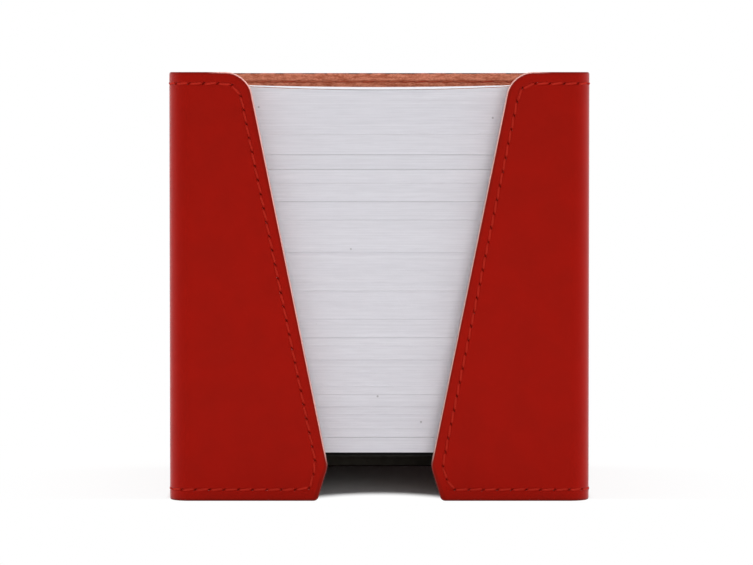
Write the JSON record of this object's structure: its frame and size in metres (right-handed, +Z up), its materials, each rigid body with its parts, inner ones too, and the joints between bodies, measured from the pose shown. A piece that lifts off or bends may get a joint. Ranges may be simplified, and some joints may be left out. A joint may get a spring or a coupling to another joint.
{
  "type": "memo cube holder",
  "caption": "Square stitched leather holder with a V-shaped front opening and a raised base, holding a cube of loose note sheets that lift out at the top.",
  "frame": {"origin": "on the desk, under the middle of the holder", "axes": "+Z up, -Y out of the open front, +X to the right as seen from the front"},
  "size_m": [0.103, 0.103, 0.105],
  "materials": {
    "red_leather": "satin",
    "black_board": "matte",
    "note_paper": "matte"
  },
  "bodies": {
    "holder": {"leather_wrap": "red_leather", "base_tray": "black_board"},
    "note_stack": {"sheet_pack_01": "note_paper", "sheet_pack_02": "note_paper", "sheet_pack_03": "note_paper", "sheet_pack_04": "note_paper", "sheet_pack_05": "note_paper", "sheet_pack_06": "note_paper", "sheet_pack_07": "note_paper", "sheet_pack_08": "note_paper", "sheet_pack_09": "note_paper", "sheet_pack_10": "note_paper", "sheet_pack_11": "note_paper", "sheet_pack_12": "note_paper", "sheet_pack_13": "note_paper", "sheet_pack_14": "note_paper", "sheet_pack_15": "note_paper", "sheet_pack_16": "note_paper", "sheet_pack_17": "note_paper", "sheet_pack_18": "note_paper", "sheet_pack_19": "note_paper", "sheet_pack_20": "note_paper"},
    "loose_sheet": {"top_sheet": "note_paper"}
  },
  "joints": [
    {"name": "stack_lift", "type": "slide", "parent": "holder", "child": "note_stack", "axis": [0, 0, 1], "range_m": [0, 0.1]},
    {"name": "sheet_lift", "type": "slide", "parent": "note_stack", "child": "loose_sheet", "axis": [0, 0, 1], "range_m": [0, 0.06]}
  ]
}
